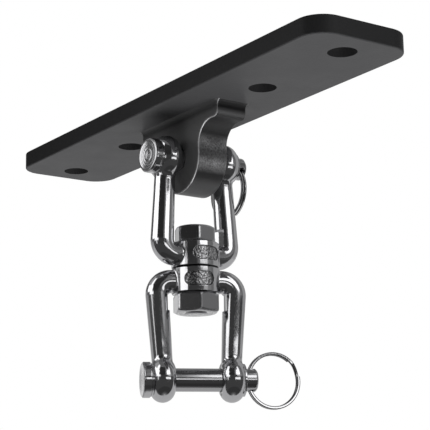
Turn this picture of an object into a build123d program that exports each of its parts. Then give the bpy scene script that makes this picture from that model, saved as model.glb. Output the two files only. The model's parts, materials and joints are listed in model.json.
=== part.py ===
from build123d import *
import os
from math import atan, degrees, radians, sqrt, tan

os.makedirs("parts", exist_ok=True)

# Ceiling hook with a two-jaw swivel, in millimetres.
# The origin is the middle of the face that lies against the ceiling, +Z is up,
# and X runs along the plate. Everything hangs below, on the line X = Y = 0.

# Ceiling plate, a flat bar with round corners and four holes in one line
plate_length = 240
plate_width = 50
plate_thickness = 8
plate_corner_radius = 11
plate_edge_break = 0.7
fixing_hole_diameter = 12
outer_hole_margin = 15
inner_hole_spacing = 105

# Eye lug, a thick shaped plate whose foot is welded under the ceiling plate
lug_thickness = 15.5
lug_foot_length = 60
lug_foot_height = 7
lug_foot_corner_radius = 2.6
lug_flank_radius = 9.2
lug_eye_radius = 15.3
lug_edge_radius = 0.9
lug_pin_drop = 20
lug_least_flat = 0.5
weld_flare_radius = 2.6
weld_toe_depth = 0.3
weld_pad_rim = 2

# Clevis pin with a turned head and a cross hole for its split ring
pin_diameter = 10
pin_running_clearance = 0.1
pin_head_diameter = 15.4
pin_head_thickness = 3.7
pin_head_rim_chamfer = 0.6
pin_head_seat_chamfer = 0.4
pin_head_dish_diameter = 12.6
pin_head_dish_depth = 0.35
pin_end_chamfer = 0.8
pin_end_length = 1.2
cross_hole_diameter = 4
cross_hole_wall = 0.3

# Jaw, a round-bar fork cast with its boss and eyes, used twice
jaw_reach = 48.5
jaw_shoulder_spacing = 35
jaw_eye_spacing = 30.4
jaw_bar_diameter = 10.2
jaw_inner_corner_radius = 0.7
jaw_shoulder_inset = 0.5
boss_diameter = 21
boss_inner_rise = 0.4
boss_seam_chamfer = 0.4
boss_inner_chamfer = 0.3
boss_blend_radius = 0.9
boss_blend_share = 0.45
boss_panel_length = 13
boss_panel_height = 6.2
boss_panel_depth = 0.3
eye_diameter = 19.5
eye_width = 10
eye_face_diameter = 12.6
eye_seat_diameter = 14.2
eye_seat_height = 0.35
eye_leg_inset = 0.5
eye_blend_radius = 3.5
spot_face_diameter = 27
spot_face_depth = 7.5

# Swivel bolt and its nut
bolt_diameter = 10
bolt_running_clearance = 0.1
bolt_head_flats = 16
bolt_head_height = 7.4
bolt_end_length = 0.6
bolt_end_chamfer = 0.8
nut_flats = 18
nut_height = 8.4
nut_thread_clearance = 0.05
hex_face_inset = 0.2
hex_chamfer_angle = 30
swivel_play = 0.2

# Split ring, two turns of flat wire with one crossing between them
ring_diameter = 25
ring_wire_width = 1.4
ring_wire_height = 1.2
ring_wire_corner_radius = 0.35
ring_turn_gap = 0.12
ring_crossing_place = 60
ring_crossing_angle = 36
ring_end_gap_angle = 2

# How the loose pieces are turned as they hang
swivel_turn = -23
hex_turn = 38.5
upper_pin_turn = 30
lower_ring_turn = 8

# Heights and offsets that follow from the sizes above
outer_hole_spacing = plate_length - 2 * outer_hole_margin
pin_radius = pin_diameter / 2
pin_bore_radius = pin_radius + pin_running_clearance
bolt_radius = bolt_diameter / 2
bolt_bore_radius = bolt_radius + bolt_running_clearance
upper_pin_height = -plate_thickness - lug_pin_drop
upper_seam_height = upper_pin_height - jaw_reach
lower_seam_height = upper_seam_height - swivel_play
lower_pin_height = lower_seam_height - jaw_reach
boss_height = jaw_shoulder_inset + jaw_bar_diameter + boss_inner_rise
eye_offset = jaw_eye_spacing / 2
eye_outer_face = eye_offset + eye_width / 2
eye_inner_face = eye_offset - eye_width / 2
pin_head_seat = eye_outer_face + eye_seat_height
cross_hole_radius = cross_hole_diameter / 2
cross_hole_offset = pin_head_seat + cross_hole_wall + cross_hole_radius
pin_reach = cross_hole_offset + cross_hole_radius + pin_end_length
ring_outer_radius = ring_diameter / 2
ring_inner_radius = ring_outer_radius - ring_wire_width
ring_middle_radius = ring_outer_radius - ring_wire_width / 2
ring_offset = (ring_outer_radius + sqrt(ring_inner_radius**2 - pin_radius**2)) / 2


def finish_node(node, name):
    """Label one finished piece and write it as its own file."""
    node.part.label = name
    export_step(node.part, f"parts/{name}.step")


def place_node(piece, frame, name):
    """Set a piece that was made in its own frame onto the frame where it belongs."""
    with BuildPart(frame) as node:
        add(piece.part)
    finish_node(node, name)


# Ceiling plate: rounded bar, both rims broken, four through holes
with BuildPart() as ceiling_plate:
    with BuildSketch(Plane.XY.offset(-plate_thickness)):
        RectangleRounded(plate_length, plate_width, plate_corner_radius)
    extrude(amount=plate_thickness)
    fillet(ceiling_plate.edges().filter_by(Plane.XY), radius=plate_edge_break)
    with GridLocations(outer_hole_spacing, 0, 2, 1):
        Hole(radius=fixing_hole_diameter / 2)
    with GridLocations(inner_hole_spacing, 0, 2, 1):
        Hole(radius=fixing_hole_diameter / 2)
finish_node(ceiling_plate, "ceiling_plate")


# Eye lug: a foot, two hollow flanks and a round eye, drawn as one outline.
# The flanks keep their radius while a short flat of foot and of neck is left.
lug_front = Plane((0, lug_thickness / 2, 0), x_dir=(1, 0, 0), z_dir=(0, -1, 0))
weld_height = -plate_thickness + weld_toe_depth
foot_base = -plate_thickness - lug_foot_height
foot_side_end = foot_base + lug_foot_corner_radius
foot_room = lug_foot_length / 2 - lug_foot_corner_radius - lug_eye_radius - lug_least_flat
neck_room = lug_pin_drop - lug_foot_height - lug_least_flat
flank_radius = min(lug_flank_radius, foot_room, neck_room)
with BuildPart() as eye_lug:
    with BuildSketch(lug_front):
        with BuildLine():
            foot_side = Line((lug_foot_length / 2, 0), (lug_foot_length / 2, foot_side_end))
            foot_corner = JernArc(foot_side @ 1, (0, -1), lug_foot_corner_radius, -90)
            foot_under = Line(foot_corner @ 1, (lug_eye_radius + flank_radius, foot_base))
            flank = JernArc(foot_under @ 1, (-1, 0), flank_radius, 90)
            neck = Line(flank @ 1, (lug_eye_radius, upper_pin_height))
            eye = JernArc(neck @ 1, (0, -1), lug_eye_radius, -90)
            for half in (foot_side, foot_corner, foot_under, flank, neck, eye):
                mirror(half, about=Plane.YZ)
            Line((-lug_foot_length / 2, 0), foot_side @ 0)
        make_face()
    extrude(amount=lug_thickness)
    outline = eye_lug.faces().filter_by(Axis.Y).edges()
    top_edges = outline.filter_by(Axis.X).group_by(Axis.Z)[-1]
    fillet(outline - top_edges, radius=lug_edge_radius)
    # The foot is welded all round, so its sides flare into the plate
    with BuildSketch(Plane.XY.offset(weld_height)):
        Rectangle(
            lug_foot_length + 2 * (weld_flare_radius + weld_pad_rim),
            lug_thickness + 2 * (weld_flare_radius + weld_pad_rim),
        )
    extrude(amount=-weld_height)
    weld_root = eye_lug.edges(Select.NEW).filter_by(Plane.XY).group_by(Axis.Z)[0]
    fillet(weld_root, radius=weld_flare_radius)
    split(bisect_by=Plane.XY.offset(-plate_thickness), keep=Keep.BOTTOM)
    with BuildSketch(lug_front):
        with Locations((0, upper_pin_height)):
            Circle(pin_bore_radius)
    extrude(amount=lug_thickness, mode=Mode.SUBTRACT)
finish_node(eye_lug, "eye_lug")


# Two bare panels, sunk in the casting's boss where castings carry their marks
boss_radius = boss_diameter / 2
with BuildPart() as boss_panels:
    with BuildSketch(Plane.YZ):
        with Locations((0, boss_height / 2)):
            SlotOverall(boss_panel_length, boss_panel_height)
    extrude(amount=boss_diameter, both=True)
    with Locations((0, 0, boss_height / 2)):
        Cylinder(boss_radius - boss_panel_depth, boss_diameter, mode=Mode.SUBTRACT)


# Jaw casting in its own frame: seam face at the origin, pin axis along Y at jaw_reach
bar_radius = jaw_bar_diameter / 2
bar_height = jaw_shoulder_inset + bar_radius
shoulder_room = jaw_shoulder_spacing / 2 - boss_radius
boss_blend = min(boss_blend_radius, boss_blend_share * (shoulder_room - bar_radius))
bend_radius = min(bar_radius + jaw_inner_corner_radius, shoulder_room - boss_blend)
eye_rim_height = jaw_reach + eye_diameter / 2
eye_face_height = jaw_reach + eye_face_diameter / 2
eye_plane = Plane((0, eye_offset, jaw_reach), x_dir=(1, 0, 0), z_dir=(0, 1, 0))
with BuildPart() as jaw:
    # Half of the bow: out along the shoulder, round the corner and up to the eye
    with BuildLine(Plane.YZ, mode=Mode.PRIVATE) as bow:
        FilletPolyline(
            (0, bar_height),
            (jaw_shoulder_spacing / 2, bar_height),
            (eye_offset, jaw_reach - eye_face_diameter / 2),
            radius=bend_radius,
        )
    shoulder_line, corner_arc, leg_line = bow.edges().sort_by(Axis.Z)
    with BuildSketch(Plane.XZ):
        with Locations((0, bar_height)):
            Circle(bar_radius)
    sweep(path=[shoulder_line, corner_arc])
    with BuildSketch(Plane(leg_line @ 0, x_dir=(1, 0, 0), z_dir=leg_line % 0)):
        Circle(bar_radius)
    leg_thinning = max(0, bar_radius + eye_leg_inset - eye_width / 2)
    extrude(amount=leg_line.length, taper=degrees(atan(leg_thinning / leg_line.length)))
    # Eye: flat faces and one full bulging rim, run into the leg by a soft blend
    with BuildSketch(Plane.YZ):
        with BuildLine():
            rim = ThreePointArc(
                (eye_inner_face, eye_face_height),
                (eye_offset, eye_rim_height),
                (eye_outer_face, eye_face_height),
            )
            Polyline(rim @ 0, (eye_inner_face, jaw_reach), (eye_outer_face, jaw_reach), rim @ 1)
        make_face()
    revolve(axis=Axis((0, 0, jaw_reach), (0, 1, 0)))
    fillet(jaw.edges(Select.NEW), radius=eye_blend_radius)
    # Raised seat on the outer face, for the pin's head
    with BuildSketch(eye_plane):
        Circle(eye_seat_diameter / 2)
    extrude(amount=pin_head_seat - eye_offset)
    mirror(about=Plane.XZ)
    # Boss: a short drum across the middle of the shoulder
    with BuildSketch(Plane.XZ):
        with BuildLine():
            Polyline(
                (0, 0),
                (boss_radius - boss_seam_chamfer, 0),
                (boss_radius, boss_seam_chamfer),
                (boss_radius, boss_height - boss_inner_chamfer),
                (boss_radius - boss_inner_chamfer, boss_height),
                (0, boss_height),
                close=True,
            )
        make_face()
    revolve(axis=Axis.Z)
    fillet(jaw.edges(Select.NEW), radius=boss_blend)
    add(boss_panels.part, mode=Mode.SUBTRACT)
    # Spot face that clears the hexagons, then the swivel bore and the pin bore
    with BuildSketch(Plane.XY.offset(boss_height)):
        Circle(spot_face_diameter / 2)
    extrude(amount=spot_face_depth, mode=Mode.SUBTRACT)
    with BuildSketch(Plane.XY):
        Circle(bolt_bore_radius)
    extrude(amount=boss_height, mode=Mode.SUBTRACT)
    with BuildSketch(eye_plane.offset(-eye_offset)):
        Circle(pin_bore_radius)
    extrude(amount=pin_head_seat, both=True, mode=Mode.SUBTRACT)


# Clevis pin in its own frame: axis along Z with its middle at the origin, hole along X
pin_head_radius = pin_head_diameter / 2
pin_head_face = -pin_head_seat - pin_head_thickness
dish_radius = ((pin_head_dish_diameter / 2) ** 2 + pin_head_dish_depth**2) / (2 * pin_head_dish_depth)
with BuildPart() as clevis_pin:
    with BuildSketch(Plane.XZ):
        with BuildLine():
            Polyline(
                (0, pin_head_face),
                (pin_head_radius - pin_head_rim_chamfer, pin_head_face),
                (pin_head_radius, pin_head_face + pin_head_rim_chamfer),
                (pin_head_radius, -pin_head_seat - pin_head_seat_chamfer),
                (pin_head_radius - pin_head_seat_chamfer, -pin_head_seat),
                (pin_radius, -pin_head_seat),
                (pin_radius, pin_reach - pin_end_chamfer),
                (pin_radius - pin_end_chamfer, pin_reach),
                (0, pin_reach),
                close=True,
            )
        make_face()
    revolve(axis=Axis.Z)
    # The face of the head is turned to a shallow dish
    with Locations((0, 0, pin_head_face + pin_head_dish_depth - dish_radius)):
        Sphere(dish_radius, mode=Mode.SUBTRACT)
    with BuildSketch(Plane.YZ):
        with Locations((0, cross_hole_offset)):
            Circle(cross_hole_radius)
    extrude(amount=pin_diameter, both=True, mode=Mode.SUBTRACT)


# Split ring in its own frame: it passes the origin along X and its middle is on Y
ring_layer = (ring_wire_height + ring_turn_gap) / 2
turn_start = ring_crossing_place + ring_crossing_angle / 2
turn_angle = 360 - ring_crossing_angle - ring_end_gap_angle
ring_centre = Vector(0, ring_offset, 0)
with BuildPart() as split_ring:
    with BuildLine(Plane.XY.offset(-ring_layer), mode=Mode.PRIVATE) as first_turn:
        CenterArc((0, ring_offset), ring_middle_radius, turn_start + ring_end_gap_angle, turn_angle)
    with BuildLine(Plane.XY.offset(ring_layer), mode=Mode.PRIVATE) as second_turn:
        CenterArc((0, ring_offset), ring_middle_radius, turn_start, turn_angle)
    wire_start = first_turn.line @ 0
    crossing_middle = ring_centre + Vector(ring_middle_radius, 0, 0).rotate(Axis.Z, ring_crossing_place)
    with BuildLine(mode=Mode.PRIVATE) as crossing:
        Spline(
            first_turn.line @ 1,
            crossing_middle,
            second_turn.line @ 0,
            tangents=(first_turn.line % 1, second_turn.line % 0),
        )
    outwards = wire_start - ring_centre - Vector(0, 0, wire_start.Z)
    with BuildSketch(Plane(wire_start, x_dir=outwards, z_dir=first_turn.line % 0)):
        RectangleRounded(ring_wire_width, ring_wire_height, ring_wire_corner_radius)
    wire_path = first_turn.edges() + crossing.edges() + second_turn.edges()
    sweep(path=wire_path)


def hex_blank(flats, height):
    """A hexagonal prism that stands on the origin, with the corners of both rims turned off."""
    corner_radius = flats / sqrt(3)
    face_radius = flats / 2 - hex_face_inset
    chamfer_height = (corner_radius - face_radius) * tan(radians(hex_chamfer_angle))
    with BuildPart() as blank:
        with BuildSketch(Plane.XY):
            RegularPolygon(flats / 2, 6, major_radius=False, rotation=hex_turn)
        extrude(amount=height)
        with BuildSketch(Plane.XZ):
            with BuildLine():
                Polyline(
                    (0, 0),
                    (face_radius, 0),
                    (corner_radius, chamfer_height),
                    (corner_radius, height - chamfer_height),
                    (face_radius, height),
                    (0, height),
                    close=True,
                )
            make_face()
        revolve(axis=Axis.Z, mode=Mode.INTERSECT)
    return blank


# Swivel bolt: head on the upper boss, shank through both bosses and the nut
bolt_seat_height = upper_seam_height + boss_height
nut_seat_height = lower_seam_height - boss_height
bolt_length = bolt_seat_height - nut_seat_height + nut_height + bolt_end_length
with BuildPart(Plane.XY.offset(bolt_seat_height)) as swivel_bolt:
    add(hex_blank(bolt_head_flats, bolt_head_height).part)
    with BuildSketch(Plane.XY.offset(bolt_seat_height)):
        Circle(bolt_radius)
    extrude(amount=-bolt_length)
    chamfer(swivel_bolt.edges().sort_by(Axis.Z)[0], length=bolt_end_chamfer)
finish_node(swivel_bolt, "swivel_bolt")


# Swivel nut: seats under the lower boss
with BuildPart(Plane.XY.offset(nut_seat_height - nut_height)) as swivel_nut:
    add(hex_blank(nut_flats, nut_height).part)
    Hole(radius=bolt_radius + nut_thread_clearance)
finish_node(swivel_nut, "swivel_nut")


# Upper set: in line with the lug, with the pin's ring hanging down beside it
upper_hole_line = Vector(1, 0, 0).rotate(Axis.Y, upper_pin_turn)
upper_ring_place = Vector(0, cross_hole_offset, upper_pin_height)
place_node(jaw, Plane.XY.offset(upper_seam_height), "upper_jaw")
place_node(
    clevis_pin,
    Plane((0, 0, upper_pin_height), x_dir=upper_hole_line, z_dir=(0, 1, 0)),
    "upper_clevis_pin",
)
place_node(
    split_ring,
    Plane(upper_ring_place, x_dir=upper_hole_line, z_dir=(0, 1, 0)),
    "upper_split_ring",
)


# Lower set: the same pieces upside down and turned on the swivel, ring straight out
lower_pin_line = Vector(0, 1, 0).rotate(Axis.Z, swivel_turn)
lower_across = lower_pin_line.cross(Vector(0, 0, -1))
lower_pin_middle = Vector(0, 0, lower_pin_height)
lower_ring_side = lower_across.rotate(Axis.Z, lower_ring_turn)
place_node(
    jaw,
    Plane((0, 0, lower_seam_height), x_dir=lower_across, z_dir=(0, 0, -1)),
    "lower_jaw",
)
place_node(
    clevis_pin,
    Plane(lower_pin_middle, x_dir=(0, 0, 1), z_dir=lower_pin_line),
    "lower_clevis_pin",
)
place_node(
    split_ring,
    Plane(lower_pin_middle + lower_pin_line * cross_hole_offset, x_dir=(0, 0, 1), z_dir=lower_ring_side),
    "lower_split_ring",
)
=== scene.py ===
import json
from math import cos, radians, sin

import bpy
import numpy as np
from mathutils import Matrix, Vector

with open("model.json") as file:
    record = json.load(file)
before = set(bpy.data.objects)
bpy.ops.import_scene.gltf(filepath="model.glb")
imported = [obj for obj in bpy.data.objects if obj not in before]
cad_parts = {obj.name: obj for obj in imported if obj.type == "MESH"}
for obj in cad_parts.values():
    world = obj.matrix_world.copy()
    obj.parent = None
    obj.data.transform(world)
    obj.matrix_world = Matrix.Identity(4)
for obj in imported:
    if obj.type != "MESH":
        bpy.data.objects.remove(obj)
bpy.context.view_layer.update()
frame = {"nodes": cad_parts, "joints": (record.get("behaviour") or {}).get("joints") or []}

# Ceiling hook with a two-jaw swivel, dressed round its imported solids.
# Everything is in metres. The origin is the middle of the plate's upper face,
# +Z is up, and the camera stands below the plate, off its near right end.

MM = 0.001


# Camera

PHOTO_SIZE = 430
FOCAL_PIXELS = 1493
SENSOR_WIDTH = 36
CAMERA_YAW = radians(54.86)
CAMERA_PITCH = radians(13.20)
CAMERA_ROLL = radians(-1.23)
# Where the plate's middle lies as the camera sees it: right, up and away
PLATE_MIDDLE_SEEN = (-10.18 * MM, 50.76 * MM, 671.5 * MM)


def make_camera():
    """A camera that looks along yaw and pitch, rolled about its own line of sight."""
    away = Vector((
        -sin(CAMERA_YAW) * cos(CAMERA_PITCH),
        cos(CAMERA_YAW) * cos(CAMERA_PITCH),
        sin(CAMERA_PITCH),
    ))
    level_right = Vector((cos(CAMERA_YAW), sin(CAMERA_YAW), 0))
    level_up = level_right.cross(away)
    right = cos(CAMERA_ROLL) * level_right + sin(CAMERA_ROLL) * level_up
    up = cos(CAMERA_ROLL) * level_up - sin(CAMERA_ROLL) * level_right
    seen = PLATE_MIDDLE_SEEN
    place = -(right * seen[0] + up * seen[1] + away * seen[2])
    data = bpy.data.cameras.new("camera")
    data.sensor_width = SENSOR_WIDTH
    data.lens = FOCAL_PIXELS / PHOTO_SIZE * SENSOR_WIDTH
    camera = bpy.data.objects.new("camera", data)
    turn = Matrix((right, up, -away)).transposed()
    camera.matrix_world = Matrix.Translation(place) @ turn.to_4x4()
    bpy.context.scene.collection.objects.link(camera)
    bpy.context.scene.camera = camera


# Shader nodes written as plain arithmetic

NOISE_DETAIL = 2.0
NOISE_ROUGHNESS = 0.5
BEVEL_SAMPLES = 8
# The colour sockets of a Mix node, and the plain value that a Vector Math node gives
MIX_SHARE, MIX_NONE, MIX_FULL = 0, 6, 7
MIX_RESULT = 2
PLAIN_VALUE = 1


class Wire:
    """One output socket, on which arithmetic adds Math nodes."""

    def __init__(self, sheet, socket):
        self.sheet = sheet
        self.socket = socket

    def math(self, operation, *values):
        """A Math node of this operation on the values, in their order."""
        sockets = dict(enumerate(values))
        return self.sheet.node("ShaderNodeMath", {"operation": operation}, sockets)

    def at_least(self, other):
        """The larger of the two."""
        return self.math("MAXIMUM", self, other)

    def __abs__(self):
        return self.math("ABSOLUTE", self)

    def __neg__(self):
        return self.math("SUBTRACT", 0, self)

    def __add__(self, other):
        return self.math("ADD", self, other)

    def __sub__(self, other):
        return self.math("SUBTRACT", self, other)

    def __mul__(self, other):
        return self.math("MULTIPLY", self, other)


class Sheet:
    """The nodes of one material or of the world."""

    def __init__(self, owner):
        owner.use_nodes = True
        self.owner = owner
        self.tree = owner.node_tree
        self.tree.nodes.clear()

    def node(self, kind, settings=None, sockets=None, output=0):
        """Adds a node, sets its settings first and then its sockets, and gives one output."""
        made = self.tree.nodes.new(kind)
        for name, value in (settings or {}).items():
            setattr(made, name, value)
        for name, value in (sockets or {}).items():
            if isinstance(value, Wire):
                self.tree.links.new(value.socket, made.inputs[name])
            else:
                made.inputs[name].default_value = value
        return Wire(self, made.outputs[output]) if made.outputs else None

    def vector(self, operation, *values, output=0):
        """A Vector Math node of this operation on the values, in their order."""
        sockets = dict(enumerate(values))
        return self.node("ShaderNodeVectorMath", {"operation": operation}, sockets, output)

    def join(self, *values):
        """A vector of up to three values."""
        return self.node("ShaderNodeCombineXYZ", sockets=dict(enumerate(values)))

    def place(self):
        """Position on the piece, in metres of the part's own frame."""
        return self.node("ShaderNodeTexCoord", output="Object")

    def coordinates(self):
        """The X, Y and Z of the place, as three values."""
        place = self.place()
        return [self.node("ShaderNodeSeparateXYZ", sockets={0: place}, output=k) for k in range(3)]

    def length(self, vector):
        """The length of a vector."""
        return self.vector("LENGTH", vector, output=PLAIN_VALUE)

    def distance(self, middle, axis):
        """How far the place lies along an axis through middle, and how far away from it."""
        offset = self.vector("SUBTRACT", self.place(), middle)
        along = self.vector("DOT_PRODUCT", offset, axis, output=PLAIN_VALUE)
        return along, self.length(self.vector("CROSS_PRODUCT", offset, axis))

    def noise(self, grain, detail=NOISE_DETAIL, roughness=NOISE_ROUGHNESS, place=None):
        """Soft noise from 0 to 1 whose lumps are about one grain across."""
        sockets = {
            "Vector": place or self.place(),
            "Scale": 1 / grain,
            "Detail": detail,
            "Roughness": roughness,
        }
        return self.node("ShaderNodeTexNoise", sockets=sockets)

    def ramp(self, value, low, high, start=0.0, end=1.0):
        """Straight run from start at low to end at high, and flat beyond them."""
        sockets = {
            "Value": value,
            "From Min": low,
            "From Max": high,
            "To Min": start,
            "To Max": end,
        }
        return self.node("ShaderNodeMapRange", sockets=sockets)

    def within(self, value, low, high, soft):
        """1 while the value lies between low and high, with edges this soft, and 0 outside."""
        rise = self.ramp(value, low - soft, low + soft)
        fall = self.ramp(value, high - soft, high + soft, 1, 0)
        return rise * fall

    def mix(self, share, none, full):
        """A colour between none and full."""
        none, full = (end if isinstance(end, Wire) else (*end, 1) for end in (none, full))
        sockets = {MIX_SHARE: share, MIX_NONE: none, MIX_FULL: full}
        return self.node("ShaderNodeMix", {"data_type": "RGBA"}, sockets, MIX_RESULT)

    def soft_edges(self, radius):
        """The surface's direction, with its sharp edges rounded to this radius."""
        return self.node("ShaderNodeBevel", {"samples": BEVEL_SAMPLES}, {"Radius": radius})

    def bump(self, height, depth, after=None):
        """A height from 0 to 1, as relief of this depth in metres."""
        sockets = {"Height": height, "Distance": depth}
        if after is not None:
            sockets["Normal"] = after
        return self.node("ShaderNodeBump", sockets=sockets)

    def principled(self, sockets):
        """The finished surface."""
        shader = self.node("ShaderNodeBsdfPrincipled", sockets=sockets)
        self.node("ShaderNodeOutputMaterial", sockets={"Surface": shader})
        return self.owner


def new_sheet(name):
    """The empty sheet of a new material."""
    return Sheet(bpy.data.materials.new(name))


# Finishes: a grain is the size of the noise's lumps, and a depth is the height of relief

# Stretches of the noise's values, from nearly all of them to the middle third
WIDE_SPAN = (0.30, 0.70)
MEDIUM_SPAN = (0.35, 0.65)
GROOVE_SPAN = (0.38, 0.62)
NARROW_SPAN = (0.40, 0.60)
SMOOTH_DETAIL = 1.0


# Black powder coat

COAT_BLACK = (0.0095, 0.0095, 0.0098)
COAT_IOR = 1.5
COAT_ROUGHNESS = (0.36, 0.44)
PLATE_SHEEN = 0.05
LUG_SHEEN = 0.20
PEEL_GRAIN = 1.1 * MM
PEEL_DEPTH = 0.03 * MM
GRIT_GRAIN = 0.45 * MM
GRIT_NOISE_ROUGHNESS = 0.6
GRIT_DEPTH = 0.022 * MM
DRIFT_GRAIN = 16 * MM


def black_coat(sheet, colour, sheen):
    """Satin black powder coat: a fine orange peel, and still finer grit on it."""
    peel = sheet.noise(PEEL_GRAIN, detail=SMOOTH_DETAIL)
    grit = sheet.noise(GRIT_GRAIN, roughness=GRIT_NOISE_ROUGHNESS)
    return sheet.principled({
        "Base Color": colour,
        "Roughness": sheet.ramp(sheet.noise(DRIFT_GRAIN), *WIDE_SPAN, *COAT_ROUGHNESS),
        "IOR": COAT_IOR,
        "Specular IOR Level": sheen,
        "Normal": sheet.bump(grit, GRIT_DEPTH, after=sheet.bump(peel, PEEL_DEPTH)),
    })


def coat_of_plate():
    """The plate's coat, of one tone."""
    return black_coat(new_sheet("satin_black_coat_of_plate"), (*COAT_BLACK, 1), PLATE_SHEEN)


LUG_HALF_THICKNESS = 7.75 * MM

# Round the lug's outline: painted shade, with two painted highlight bands at the waist, and
# fainter painted highlights at the foot and at the bottom
LUG_RIM_PAINTED_SHADE = (0.004, 0.004, 0.0041)
LUG_RIM_PAINTED_HIGHLIGHT = (0.092, 0.092, 0.094)
LUG_WAIST_HIGHLIGHT_BANDS = ((-34 * MM, -29 * MM), (-26.5 * MM, -21.5 * MM))
LUG_WAIST_FADE = 2.3 * MM
LUG_FOOT_HIGHLIGHT_BAND = (-13.2 * MM, -12.2 * MM)
LUG_FOOT_FADE = 1.2 * MM
LUG_FOOT_HIGHLIGHT_SHARE = 0.42
LUG_BOTTOM_HIGHLIGHT_FADE = (-42 * MM, -38 * MM)
LUG_BOTTOM_HIGHLIGHT_SHARE = 0.12
SPECK_GRAIN = 0.6 * MM
SPECK_NOISE_ROUGHNESS = 0.7
SPECK_SPAN = (0.55, 1.05)
DRIFT_SHARE = 0.6

# On its two flat faces: an even painted light tone, lighter than the plate's coat, and painted
# shade on the weld's flare
LUG_FACE_PAINTED_LIGHT = (0.034, 0.034, 0.0345)
LUG_FLARE_PAINTED_SHADE = (0.009, 0.009, 0.0092)
LUG_FLARE_FADE = (-12.5 * MM, -9.5 * MM)
LUG_FACE_FADE = (LUG_HALF_THICKNESS - 0.15 * MM, LUG_HALF_THICKNESS - 0.05 * MM)

# Along its front edge: a thin painted highlight line
LUG_EDGE_HIGHLIGHT_TONE = (0.20, 0.20, 0.205)
LUG_LINE_PLACE = LUG_HALF_THICKNESS - 0.36 * MM
LUG_LINE_HALF_WIDTH = 0.16 * MM
LUG_LINE_FADE = 0.08 * MM
LUG_LINE_STRENGTH = (0.30, 1.0)


def coat_of_lug_with_painted_light():
    """The lug's coat with light and shade painted in: painted highlight bands round its outline
    over painted shade, a painted light tone on its faces, and a thin painted highlight along its
    front edge.
    """
    sheet = new_sheet("satin_black_coat_of_lug_with_painted_light")
    across, height = sheet.coordinates()[1:]
    drift = sheet.noise(DRIFT_GRAIN)
    specks = sheet.noise(SPECK_GRAIN, roughness=SPECK_NOISE_ROUGHNESS)
    # The rim's colour is painted light: highlight bands at the waist, foot and bottom over painted
    # shade
    lower, upper = (sheet.within(height, *band, LUG_WAIST_FADE) for band in LUG_WAIST_HIGHLIGHT_BANDS)
    pale = sheet.ramp(drift * DRIFT_SHARE + specks, *SPECK_SPAN) * (lower + upper)
    pale = pale.at_least(sheet.ramp(height, *LUG_BOTTOM_HIGHLIGHT_FADE, LUG_BOTTOM_HIGHLIGHT_SHARE, 0))
    foot = sheet.within(height, *LUG_FOOT_HIGHLIGHT_BAND, LUG_FOOT_FADE)
    rim = sheet.mix(pale.at_least(foot * LUG_FOOT_HIGHLIGHT_SHARE), LUG_RIM_PAINTED_SHADE, LUG_RIM_PAINTED_HIGHLIGHT)
    # The flat faces: a painted light tone, fading to painted shade on the weld's flare
    face = sheet.mix(sheet.ramp(height, *LUG_FLARE_FADE), LUG_FACE_PAINTED_LIGHT, LUG_FLARE_PAINTED_SHADE)
    colour = sheet.mix(sheet.ramp(abs(across), *LUG_FACE_FADE), rim, face)
    # A thin painted highlight along the front edge, made uneven by the drift
    line_ends = (LUG_LINE_PLACE - LUG_LINE_HALF_WIDTH, LUG_LINE_PLACE + LUG_LINE_HALF_WIDTH)
    line = sheet.within(-across, *line_ends, LUG_LINE_FADE)
    line = line * sheet.ramp(drift, *NARROW_SPAN, *LUG_LINE_STRENGTH)
    return black_coat(sheet, sheet.mix(line, colour, LUG_EDGE_HIGHLIGHT_TONE), LUG_SHEEN)


# Cast steel

BRIGHT_STEEL = (0.62, 0.62, 0.635)
CAST_ROUGHNESS = (0.08, 0.14)
CAST_EDGE_RADIUS = 0.35 * MM
WAVE_GRAIN = 9 * MM
WAVE_DEPTH = 0.10 * MM
CAST_GRAIN = 0.55 * MM
CAST_GRAIN_DEPTH = 0.003 * MM

BOSS_RADIUS = 10.5 * MM
HALF_BOSS_HEIGHT = 5.55 * MM
PANEL_DEPTH = 0.3 * MM
PANEL_HALF_HEIGHT = 3.1 * MM
PANEL_HALF_LENGTH = 6.5 * MM
PANEL_FADE = 0.1 * MM
# How far from the axis a panel's floor and walls lie
SUNK_PLACE = (BOSS_RADIUS - PANEL_DEPTH - 0.1 * MM, BOSS_RADIUS - 0.08 * MM)
SUNK_FADE = 0.04 * MM
# How far from the panel's middle line the painted shade along its walls begins and is full, and how
# dark that painted shade gets
BORDER_PLACE = (PANEL_HALF_HEIGHT - 0.55 * MM, PANEL_HALF_HEIGHT - 0.15 * MM)
BORDER_PAINTED_SHADE = 0.92
SAND_GRAIN = 0.8 * MM
SAND_NOISE_ROUGHNESS = 0.6
SAND_DEPTH = 0.30 * MM
SAND_SHADE = (0.80, 0.10)
SAND_ROUGHNESS = 0.08
# The dark of the sand floors, also used for the painted shade along the panel walls
PANEL_DARK_AND_PAINTED_SHADE = (0.03, 0.03, 0.03)


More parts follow.
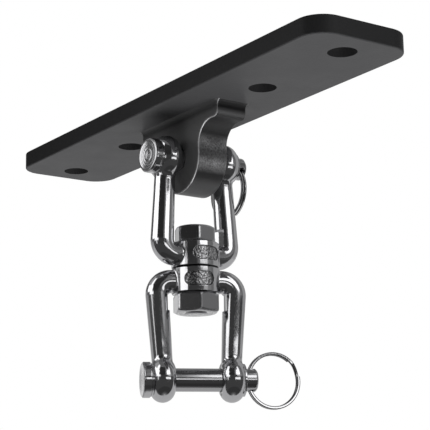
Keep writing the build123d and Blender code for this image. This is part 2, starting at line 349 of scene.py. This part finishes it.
def polished_casting(name, seam_height, boss_side, across):
    """Bright cast steel with soft waves, and sand-rough floors in the boss's two panels, with
    painted shade round the inside of each panel's wall.
    """
    sheet = new_sheet(name)
    waves = sheet.noise(WAVE_GRAIN, detail=SMOOTH_DETAIL)
    grain = sheet.noise(CAST_GRAIN)
    sand = sheet.noise(SAND_GRAIN, roughness=SAND_NOISE_ROUGHNESS)
    boss_middle = (0, 0, seam_height + boss_side * HALF_BOSS_HEIGHT)
    height, away = sheet.distance(boss_middle, (0, 0, 1))
    aside = abs(sheet.distance(boss_middle, across)[0])
    past_straight = (aside - (PANEL_HALF_LENGTH - PANEL_HALF_HEIGHT)).at_least(0)
    reach = sheet.length(sheet.join(past_straight, height))
    sunk = sheet.within(away, *SUNK_PLACE, SUNK_FADE)
    panel_ends = (PANEL_HALF_HEIGHT, PANEL_HALF_HEIGHT + PANEL_FADE)
    panel = sunk * sheet.ramp(reach, *panel_ends, 1, 0)
    # Painted shade inside each panel's wall, darkest at the wall
    painted_wall_shade = sunk * sheet.ramp(reach, *BORDER_PLACE, 0, BORDER_PAINTED_SHADE)
    sand_tone_and_wall_shade = (panel * sheet.ramp(sand, *NARROW_SPAN, *SAND_SHADE)).at_least(painted_wall_shade)
    relief = sheet.bump(waves, WAVE_DEPTH, after=sheet.soft_edges(CAST_EDGE_RADIUS))
    relief = sheet.bump(grain, CAST_GRAIN_DEPTH, after=relief)
    polish = sheet.ramp(grain, *MEDIUM_SPAN, *CAST_ROUGHNESS)
    return sheet.principled({
        "Base Color": sheet.mix(sand_tone_and_wall_shade, BRIGHT_STEEL, PANEL_DARK_AND_PAINTED_SHADE),
        "Metallic": 1.0,
        "Roughness": polish + panel * SAND_ROUGHNESS,
        "Normal": sheet.bump(sand * panel, SAND_DEPTH, after=relief),
    })


# Turned steel

TURNED_FACE_RADIUS = 7.5 * MM
TURNED_FACE_FADE = 0.2 * MM
TURNED_ROUGHNESS = (0.07, 0.16)
TOOL_RING_GRAIN = 1.3 * MM
TOOL_RING_DEPTH = 0.35 * MM
TOOL_RING_DARK = (0.38, 0.38, 0.39)


def turned_steel(name, middle, axis, edge_radius):
    """Bright steel turned about an axis: tool rings that follow the distance from it."""
    sheet = new_sheet(name)
    away = sheet.distance(middle, axis)[1]
    rings = sheet.noise(TOOL_RING_GRAIN, place=sheet.join(away))
    face_ends = (TURNED_FACE_RADIUS, TURNED_FACE_RADIUS + TURNED_FACE_FADE)
    rings = rings * sheet.ramp(away, *face_ends, 1, 0)
    return sheet.principled({
        "Base Color": sheet.mix(sheet.ramp(rings, *GROOVE_SPAN), BRIGHT_STEEL, TOOL_RING_DARK),
        "Metallic": 1.0,
        "Roughness": sheet.ramp(rings, *WIDE_SPAN, *TURNED_ROUGHNESS),
        "Normal": sheet.bump(rings, TOOL_RING_DEPTH, after=sheet.soft_edges(edge_radius)),
    })


# Drawn wire

RING_OUTER_RADIUS = 12.5 * MM
RING_WIRE_WIDTH = 1.4 * MM
RING_TURN_OFFSET = 0.66 * MM
# The wire's base colours: painted highlight for the stripes, painted shade beside them
WIRE_PAINTED_HIGHLIGHT = (0.85, 0.85, 0.86)
WIRE_PAINTED_SHADE = (0.15, 0.15, 0.155)
WIRE_ROUGHNESS = (0.10, 0.18)
WIRE_GRAIN = 0.4 * MM
WIRE_GRAIN_DEPTH = 0.002 * MM
# The painted highlight stripes: on the flat face and on the rim of each turn
CROWN_HALF_WIDTH = 0.238 * MM
CROWN_FADE = 0.12 * MM
RIM_HALF_WIDTH = 0.24 * MM
RIM_FADE = 0.10 * MM
RIM_PLACE = (RING_OUTER_RADIUS - 0.3 * MM, RING_OUTER_RADIUS - 0.1 * MM)


def wire_with_painted_highlights(name, ring, axis):
    """Drawn wire with light painted in: painted highlight stripes along the middle of its flat face
    and each rim, and painted shade beside them.
    """
    sheet = new_sheet(name)
    grain = sheet.noise(WIRE_GRAIN)
    points = np.array([vertex.co for vertex in ring.data.vertices])
    middle = (points.min(axis=0) + points.max(axis=0)) / 2
    along, away = sheet.distance(middle.tolist(), axis)
    # Masks of the painted highlight stripes; the rest of the wire gets painted shade
    crown_place = RING_OUTER_RADIUS - RING_WIRE_WIDTH / 2
    crown_ends = (crown_place - CROWN_HALF_WIDTH, crown_place + CROWN_HALF_WIDTH)
    crown_highlight = sheet.within(away, *crown_ends, CROWN_FADE)
    off_turn = abs(along) - RING_TURN_OFFSET
    rim = sheet.within(off_turn, -RIM_HALF_WIDTH, RIM_HALF_WIDTH, RIM_FADE)
    rim = rim * sheet.ramp(away, *RIM_PLACE)
    return sheet.principled({
        "Base Color": sheet.mix(crown_highlight.at_least(rim), WIRE_PAINTED_SHADE, WIRE_PAINTED_HIGHLIGHT),
        "Metallic": 1.0,
        "Roughness": sheet.ramp(grain, *MEDIUM_SPAN, *WIRE_ROUGHNESS),
        "Normal": sheet.bump(grain, WIRE_GRAIN_DEPTH),
    })


def dress(node, material):
    """Gives a CAD node its finish."""
    for slot in frame["nodes"][node].material_slots:
        slot.material = material


# Studio

DOME_RADIUS = 350 * MM
DOME_MIDDLE = Vector((0, 0, -77 * MM))
CARD_COLUMNS = 25
CARD_ROWS = 17

# The dome of reflector cards, which only reflections see. Each row is a belt between two
# height angles: the bearings of its edges, right of the camera, and the tones between them.
DOME_BELTS = (
    (55, 90, (-180, 180), (0.16,)),
    (30, 55, (-180, -160, -146, -122, -80, -57, 12, 27, 65, 97, 148, 180),
     (0.20, 0.45, 0.14, 0.42, 1.70, 0.035, 0.20, 1.60, 0.15, 0.40, 0.30)),
    (12, 30, (-180, -160, -146, -104, -50, 12, 25, 62, 97, 148, 180),
     (0.12, 0.55, 0.12, 1.90, 0.028, 0.25, 1.90, 0.19, 0.40, 0.20)),
    (4, 12, (-180, -160, -146, -112, -76, -37, 38, 60, 80, 97, 148, 180),
     (0.20, 0.70, 0.35, 0.13, 1.60, 0.055, 0.45, 0.26, 0.19, 0.40, 0.30)),
    (0, 4, (-180, -146, -95, -60, -51, 95, 146, 180),
     (0.70, 0.35, 0.09, 1.10, 0.055, 0.35, 0.70)),
    (-9, 0, (-180, -146, -95, -60, -51, 15, 62, 95, 146, 180),
     (0.85, 0.42, 0.09, 1.00, 0.050, 1.50, 0.10, 0.42, 0.85)),
    (-45, -9, (-180, -95, 95, 180), (0.55, 0.065, 0.55)),
    (-70, -45, (-180, -95, 95, 180), (0.55, 0.045, 0.55)),
    (-77, -70, (-180, -95, 95, 180), (0.55, 0.09, 0.55)),
    (-84, -77, (-180, -95, 95, 180), (0.55, 0.20, 0.55)),
    (-90, -84, (-180, 180), (0.50,)),
)


def emission(name, strength):
    """A plain glowing surface."""
    sheet = new_sheet(name)
    glow = sheet.node("ShaderNodeEmission", sockets={"Strength": strength})
    sheet.node("ShaderNodeOutputMaterial", sockets={"Surface": glow})
    return sheet.owner


def dome_card(name, bearings, heights, tone):
    """A patch of the dome between two bearings and two height angles."""
    bearing, height = np.meshgrid(
        np.radians(np.linspace(*bearings, CARD_COLUMNS)) + CAMERA_YAW,
        np.radians(np.linspace(*heights, CARD_ROWS)),
    )
    points = np.stack([
        np.sin(bearing) * np.cos(height),
        -np.cos(bearing) * np.cos(height),
        np.sin(height),
    ], axis=-1) * DOME_RADIUS + np.array(DOME_MIDDLE)
    corner = np.arange(CARD_ROWS * CARD_COLUMNS).reshape(CARD_ROWS, CARD_COLUMNS)
    quads = np.stack([
        corner[:-1, :-1],
        corner[1:, :-1],
        corner[1:, 1:],
        corner[:-1, 1:],
    ], axis=-1)
    mesh = bpy.data.meshes.new(name)
    mesh.from_pydata(points.reshape(-1, 3).tolist(), [], quads.reshape(-1, 4).tolist())
    mesh.materials.append(emission(name, tone))
    card = bpy.data.objects.new(name, mesh)
    bpy.context.scene.collection.objects.link(card)
    card.visible_camera = False
    card.visible_diffuse = False
    card.visible_shadow = False
    card.visible_transmission = False


FLOOR_HEIGHT = -1.25
FLOOR_SIZE = 12
FLOOR_TONE = (0.8, 0.8, 0.8, 1)
FLOOR_ROUGHNESS = 0.8


def make_floor():
    """A plain pale floor, far below."""
    half = FLOOR_SIZE / 2
    mesh = bpy.data.meshes.new("floor")
    corners = [(-half, -half), (half, -half), (half, half), (-half, half)]
    mesh.from_pydata([(x, y, FLOOR_HEIGHT) for x, y in corners], [], [(0, 1, 2, 3)])
    finish = {"Base Color": FLOOR_TONE, "Roughness": FLOOR_ROUGHNESS}
    mesh.materials.append(new_sheet("pale_floor").principled(finish))
    floor = bpy.data.objects.new("floor", mesh)
    bpy.context.scene.collection.objects.link(floor)


# Lamps: bearing right of the camera and height angle in degrees, distance and size in
# metres, and power in watts
LAMPS = {
    "key": (45, 40, 1.4, 0.9, 6),
    "fill": (-60, 20, 1.4, 0.9, 1),
    "below": (100, -84, 1.1, 1.7, 165),
    "above": (180, 75, 1.4, 0.9, 60),
}


def make_lamp(name, bearing, height, distance, size, power):
    """A soft square lamp that faces the swivel, and that reflections don't see."""
    bearing = radians(bearing) + CAMERA_YAW
    height = radians(height)
    back = Vector((sin(bearing) * cos(height), -cos(bearing) * cos(height), sin(height)))
    data = bpy.data.lights.new(name, "AREA")
    data.size = size
    data.energy = power
    lamp = bpy.data.objects.new(name, data)
    lamp.location = DOME_MIDDLE + back * distance
    lamp.rotation_mode = "QUATERNION"
    lamp.rotation_quaternion = back.to_track_quat("Z", "Y")
    lamp.visible_glossy = False
    bpy.context.scene.collection.objects.link(lamp)


AMBIENT = 0.25
BACKDROP = (1, 1, 1, 1)


def make_world():
    """White to the camera and to reflections, and a soft grey fill to everything else."""
    world = bpy.data.worlds.new("studio")
    bpy.context.scene.world = world
    sheet = Sheet(world)
    rays = ("Is Camera Ray", "Is Glossy Ray", "Is Transmission Ray")
    camera, glossy, transmitted = (sheet.node("ShaderNodeLightPath", output=ray) for ray in rays)
    seen = camera.at_least(glossy).at_least(transmitted)
    strength = sheet.ramp(seen, 0, 1, AMBIENT, 1)
    backdrop = sheet.node("ShaderNodeBackground", sockets={"Color": BACKDROP, "Strength": strength})
    sheet.node("ShaderNodeOutputWorld", sockets={"Surface": backdrop})


# The scene

# Turned pieces: the joint on whose line they were turned, their finish and its soft edges
TURNED_PIECES = {
    "upper_clevis_pin": ("upper_pin_turn", "turned_steel_of_upper_pin", 0.9 * MM),
    "lower_clevis_pin": ("lower_pin_turn", "turned_steel_of_lower_pin", 0.9 * MM),
    "swivel_bolt": ("bolt_turn", "turned_steel_of_bolt", 1.5 * MM),
    "swivel_nut": ("bolt_turn", "turned_steel_of_nut", 1.5 * MM),
}

# Split rings: the line through the middle of each, square to its turns
LOWER_RING_BEARING = radians(-15)
RING_AXES = {
    "upper_split_ring": (0, 1, 0),
    "lower_split_ring": (cos(LOWER_RING_BEARING), sin(LOWER_RING_BEARING), 0),
}

make_camera()
make_world()
make_floor()
for belt, (low, high, edges, tones) in enumerate(DOME_BELTS):
    for column, tone in enumerate(tones):
        dome_card(f"card_{belt}_{column}", edges[column:column + 2], (low, high), tone)
for lamp, settings in LAMPS.items():
    make_lamp(lamp, *settings)

joints = {joint["name"]: joint for joint in frame["joints"]}
seam = joints["swivel"]["pos_m"][2]
upper_across = joints["upper_pin_turn"]["axis"]
lower_across = joints["lower_pin_turn"]["axis"]
dress("ceiling_plate", coat_of_plate())
dress("eye_lug", coat_of_lug_with_painted_light())
dress("upper_jaw", polished_casting("polished_upper_casting", seam, 1, upper_across))
dress("lower_jaw", polished_casting("polished_lower_casting", seam, -1, lower_across))
for node, axis in RING_AXES.items():
    dress(node, wire_with_painted_highlights("drawn_wire_with_painted_highlights_of_" + node, frame["nodes"][node], axis))
for node, (joint_name, finish, edge_radius) in TURNED_PIECES.items():
    joint = joints[joint_name]
    dress(node, turned_steel(finish, joint["pos_m"], joint["axis"], edge_radius))

bpy.context.scene.view_settings.view_transform = "Standard"
